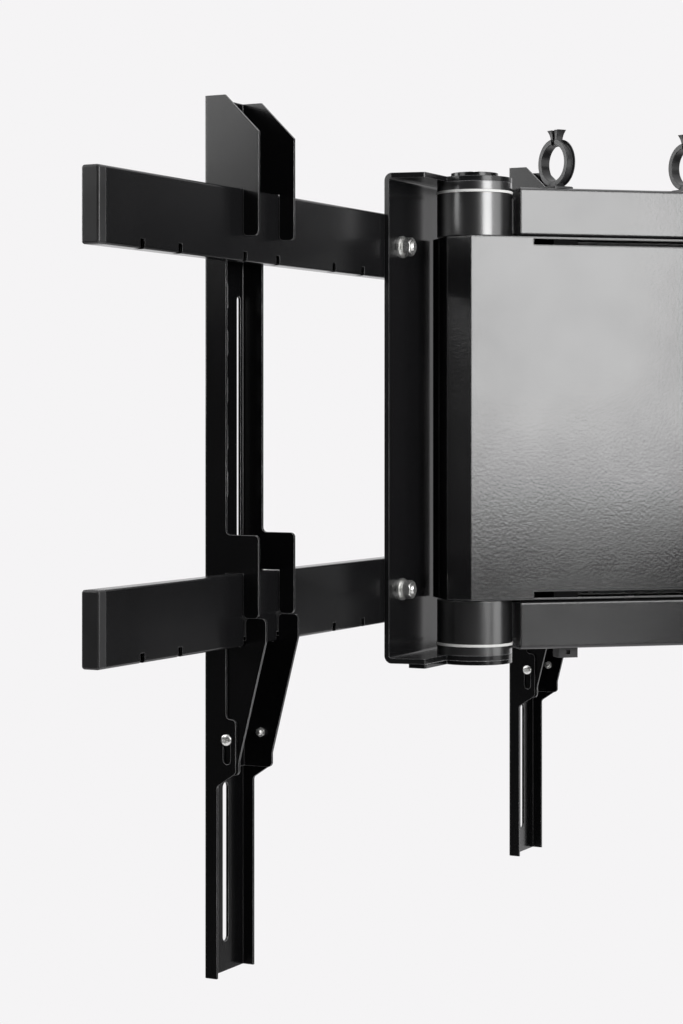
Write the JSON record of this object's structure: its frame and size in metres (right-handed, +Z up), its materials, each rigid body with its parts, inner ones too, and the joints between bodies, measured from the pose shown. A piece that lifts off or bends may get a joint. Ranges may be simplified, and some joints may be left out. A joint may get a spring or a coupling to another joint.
{
  "type": "motorized tv wall mount",
  "caption": "Motorized television wall mount: a geared swing arm on a wall plate carries a swivelling head with long rails, hook-on legs and sliding locks.",
  "frame": {"origin": "centre of the wall plate's back face, on the wall", "axes": "+X along the wall and the rails, +Y into the wall, +Z up; the screen hangs on the -Y side"},
  "size_m": [1.424, 0.6866, 0.9307],
  "materials": {
    "black_coat": "semi-gloss black powder coat with fine orange peel",
    "zinc_steel": "bright zinc plate",
    "ground_steel": "ground",
    "bronze": "sintered",
    "white_nylon": "satin",
    "motor_case": "satin",
    "black_plastic": "moulded satin"
  },
  "bodies": {
    "wall": {"wall_plate": "black_coat", "wall_bracket": "black_coat", "wall_bosses": "black_coat", "wall_shaft": "ground_steel", "wall_keeper": "black_coat", "wall_stop_plate": "black_coat", "wall_pivot_screws": "zinc_steel", "wall_gear": "ground_steel", "wall_studs": "zinc_steel", "wall_washers": "zinc_steel", "wall_nuts": "zinc_steel"},
    "arm": {"upper_arm_tube": "black_coat", "lower_arm_tube": "black_coat", "upper_wall_knuckle": "black_coat", "lower_wall_knuckle": "black_coat", "upper_head_knuckle": "black_coat", "lower_head_knuckle": "black_coat", "knuckle_bushes": "bronze", "thrust_washers": "white_nylon", "front_cover": "black_coat", "rear_cover": "black_coat", "wall_upright": "black_coat", "head_upright": "black_coat", "rear_cover_screws": "zinc_steel", "front_cover_studs": "zinc_steel", "front_cover_nuts": "zinc_steel", "wall_motor": "motor_case", "head_motor": "motor_case", "wall_motor_bracket": "black_coat", "head_motor_bracket": "black_coat", "motor_screws": "zinc_steel", "control_box": "black_plastic", "cable_clips": "black_plastic", "cable_saddle": "black_plastic", "cover_seals": "black_plastic"},
    "head": {"head_bracket": "black_coat", "head_bosses": "black_coat", "head_shaft": "ground_steel", "head_keeper": "black_coat", "head_stop_plate": "black_coat", "head_pivot_screws": "zinc_steel", "head_gear": "ground_steel", "upper_rail": "black_coat", "lower_rail": "black_coat", "rail_end_caps": "black_plastic", "rail_bolts": "zinc_steel", "rail_nuts": "zinc_steel", "rail_washers": "zinc_steel", "left_leg": "black_coat", "right_leg": "black_coat"},
    "swing_pinion": {"wall_pinion": "ground_steel"},
    "swivel_pinion": {"head_pinion": "ground_steel"},
    "left_lock": {"left_lock_bracket": "black_coat", "left_lock_screws": "zinc_steel"},
    "right_lock": {"right_lock_bracket": "black_coat", "right_lock_screws": "zinc_steel"}
  },
  "joints": [
    {"name": "arm_swing", "type": "hinge", "parent": "wall", "child": "arm", "pos_m": [0, -0.09, 0], "axis": [0, 0, -1], "range_deg": [-28, 41.8]},
    {"name": "head_swivel", "type": "hinge", "parent": "arm", "child": "head", "pos_m": [0.43325, -0.57456, 0], "axis": [0, 0, 1], "range_deg": [-28, 42]},
    {"name": "swing_pinion_spin", "type": "hinge", "parent": "arm", "child": "swing_pinion", "pos_m": [0.03199, -0.12578, 0], "axis": [0, 0, -1], "range_deg": [-90, 130]},
    {"name": "swivel_pinion_spin", "type": "hinge", "parent": "arm", "child": "swivel_pinion", "pos_m": [0.40125, -0.53878, 0], "axis": [0, 0, 1], "range_deg": [-130, 90]},
    {"name": "left_lock_slide", "type": "slide", "parent": "head", "child": "left_lock", "axis": [0, 0, 1], "range_m": [-0.02, 0]},
    {"name": "right_lock_slide", "type": "slide", "parent": "head", "child": "right_lock", "axis": [0, 0, 1], "range_m": [-0.02, 0]}
  ],
  "couplings": [
    {"joint": "swing_pinion_spin", "follows": "arm_swing", "ratio": 3},
    {"joint": "swivel_pinion_spin", "follows": "head_swivel", "ratio": -3}
  ]
}
